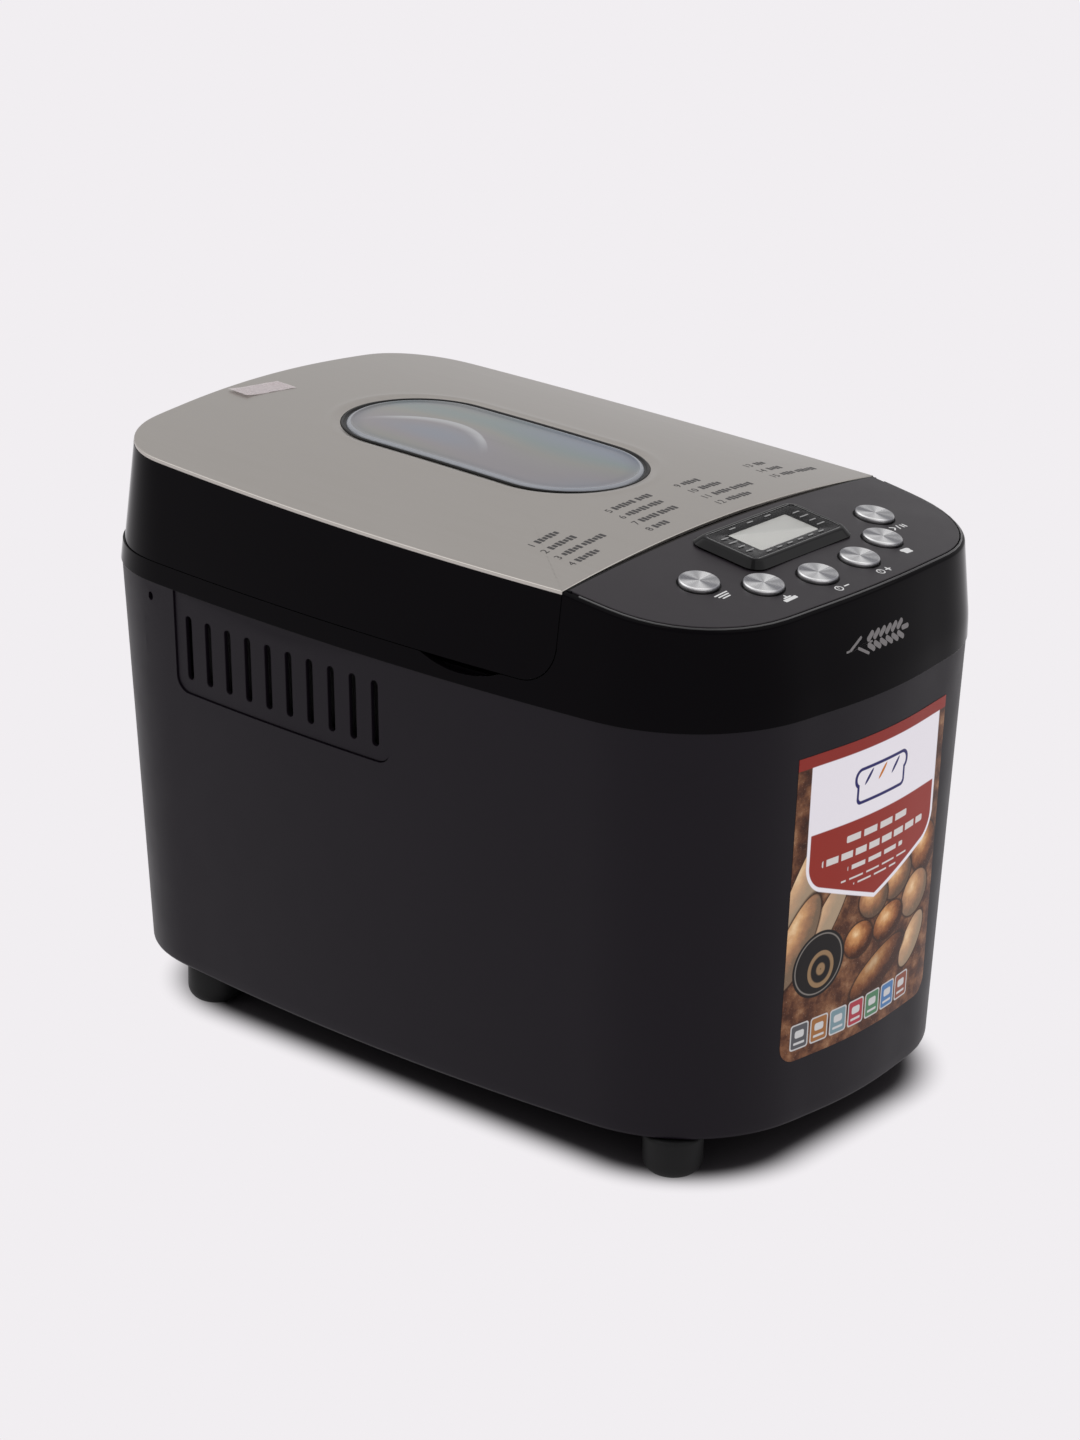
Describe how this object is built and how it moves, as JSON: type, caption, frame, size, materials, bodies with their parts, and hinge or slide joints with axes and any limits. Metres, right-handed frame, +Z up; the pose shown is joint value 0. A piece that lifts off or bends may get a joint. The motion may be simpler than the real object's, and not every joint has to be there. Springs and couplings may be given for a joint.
{
  "type": "bread machine",
  "caption": "Countertop bread machine with a hinged steel-topped lid and viewing window, sloped key panel, removable pan, and belt-driven kneading paddles.",
  "frame": {"origin": "on the table, under the middle of the case", "axes": "+Z up, -Y towards the control panel, +Y towards the lid hinge, +X to the right seen from the control panel end"},
  "size_m": [0.26, 0.411, 0.2966],
  "materials": {
    "case_satin": "satin moulded, soft light gradients",
    "case_gloss": "high gloss moulded",
    "base_plastic": "fine texture",
    "foot_rubber": "moulded rubber",
    "screw_steel": "zinc plated",
    "label_print": null,
    "panel_satin": "satin",
    "display_black": "gloss",
    "display_clear": "clear window",
    "lcd_grey": "grey green display",
    "board_green": "circuit board",
    "button_metal": "spun metal face",
    "top_steel": "satin champagne steel",
    "gasket_black": "black",
    "lens_clear": "clear moulded window",
    "liner_aluminium": "pressed sheet",
    "oven_glass": "toughened glass",
    "film_clear": "thin film",
    "chamber_steel": "coated sheet",
    "element_steel": "oxidised tube",
    "pan_coating": "non-stick coating",
    "pan_aluminium": "cast",
    "handle_steel": "wire",
    "bush_bronze": "sintered bronze",
    "shaft_steel": "ground",
    "pulley_plastic": "glass filled nylon",
    "belt_rubber": "ribbed belt",
    "motor_steel": "laminated steel",
    "coil_copper": "enamelled wire"
  },
  "bodies": {
    "case": {"lower_housing": "case_satin", "upper_housing": "case_gloss", "base_plate": "base_plastic", "foot_front_left": "foot_rubber", "foot_front_right": "foot_rubber", "foot_rear_left": "foot_rubber", "foot_rear_right": "foot_rubber", "case_screws": "screw_steel", "vent_grille_left": "base_plastic", "vent_grille_right": "base_plastic", "front_label": "label_print", "control_panel_face": "panel_satin", "display_bezel": "display_black", "display_window": "display_clear", "lcd_module": "lcd_grey", "control_board": "board_green", "hinge_pins": "screw_steel", "bake_chamber": "chamber_steel", "heating_element": "element_steel", "element_brackets": "chamber_steel", "temperature_sensor": "chamber_steel", "pan_clips": "chamber_steel", "bread_pan": "pan_coating", "pan_base": "pan_aluminium", "shaft_bushings": "bush_bronze", "drive_bearings": "bush_bronze", "link_belt": "belt_rubber", "motor_belt": "belt_rubber", "motor_stator": "motor_steel", "motor_coils": "coil_copper", "motor_frame": "pan_aluminium", "motor_mounts": "foot_rubber", "power_board": "board_green", "run_capacitor": "pan_aluminium", "cord_gland": "base_plastic"},
    "lid": {"lid_skirt": "case_gloss", "lid_top_plate": "top_steel", "window_gasket": "gasket_black", "window_lens": "lens_clear", "lid_liner": "liner_aluminium", "lid_inner_glass": "oven_glass", "lid_screws": "screw_steel", "film_tab": "film_clear"},
    "bail": {"pan_handle": "handle_steel"},
    "motor": {"motor_rotor": "motor_steel", "motor_pulley": "pulley_plastic"},
    "drive_front": {"drive_shaft_front": "shaft_steel", "drive_pulley_front": "pulley_plastic"},
    "drive_rear": {"drive_shaft_rear": "shaft_steel", "drive_pulley_rear": "pulley_plastic"},
    "knead_front": {"paddle_shaft_front": "shaft_steel", "kneading_paddle_front": "pan_coating"},
    "knead_rear": {"paddle_shaft_rear": "shaft_steel", "kneading_paddle_rear": "pan_coating"},
    "key_menu": {"button_menu": "button_metal"},
    "key_weight": {"button_weight": "button_metal"},
    "key_time_minus": {"button_time_minus": "button_metal"},
    "key_time_plus": {"button_time_plus": "button_metal"},
    "key_crust": {"button_crust": "button_metal"},
    "key_start": {"button_start": "button_metal"}
  },
  "joints": [
    {"name": "lid_hinge", "type": "hinge", "parent": "case", "child": "lid", "pos_m": [0, 0.2017, 0.2375], "axis": [-1, 0, 0], "range_deg": [0, 95]},
    {"name": "pan_bail", "type": "hinge", "parent": "case", "child": "bail", "pos_m": [0, 0.033, 0.194], "axis": [0, -1, 0], "range_deg": [0, 28]},
    {"name": "press_menu", "type": "slide", "parent": "case", "child": "key_menu", "axis": [0.0579, 0.1386, -0.9886], "range_m": [0, 0.001], "stiffness_N_per_m": 800},
    {"name": "press_weight", "type": "slide", "parent": "case", "child": "key_weight", "axis": [0.0394, 0.1386, -0.9896], "range_m": [0, 0.001], "stiffness_N_per_m": 800},
    {"name": "press_time_minus", "type": "slide", "parent": "case", "child": "key_time_minus", "axis": [0.0139, 0.1386, -0.9902], "range_m": [0, 0.001], "stiffness_N_per_m": 800},
    {"name": "press_time_plus", "type": "slide", "parent": "case", "child": "key_time_plus", "axis": [-0.0139, 0.1386, -0.9902], "range_m": [0, 0.001], "stiffness_N_per_m": 800},
    {"name": "press_crust", "type": "slide", "parent": "case", "child": "key_crust", "axis": [-0.0394, 0.1386, -0.9896], "range_m": [0, 0.001], "stiffness_N_per_m": 800},
    {"name": "press_start", "type": "slide", "parent": "case", "child": "key_start", "axis": [-0.0579, 0.1386, -0.9886], "range_m": [0, 0.001], "stiffness_N_per_m": 800},
    {"name": "motor_spin", "type": "hinge", "parent": "case", "child": "motor", "pos_m": [0, -0.148, 0.1], "axis": [0, 0, 1], "continuous": true},
    {"name": "drive_front_spin", "type": "hinge", "parent": "case", "child": "drive_front", "pos_m": [0, -0.017, 0.07], "axis": [0, 0, 1], "continuous": true},
    {"name": "drive_rear_spin", "type": "hinge", "parent": "case", "child": "drive_rear", "pos_m": [0, 0.083, 0.07], "axis": [0, 0, 1], "continuous": true},
    {"name": "knead_front_spin", "type": "hinge", "parent": "case", "child": "knead_front", "pos_m": [0, -0.017, 0.07], "axis": [0, 0, 1], "continuous": true},
    {"name": "knead_rear_spin", "type": "hinge", "parent": "case", "child": "knead_rear", "pos_m": [0, 0.083, 0.07], "axis": [0, 0, 1], "continuous": true}
  ],
  "couplings": [
    {"joint": "drive_front_spin", "follows": "motor_spin", "ratio": 0.2328},
    {"joint": "drive_rear_spin", "follows": "motor_spin", "ratio": 0.2328},
    {"joint": "knead_front_spin", "follows": "motor_spin", "ratio": 0.2328},
    {"joint": "knead_rear_spin", "follows": "motor_spin", "ratio": 0.2328}
  ]
}
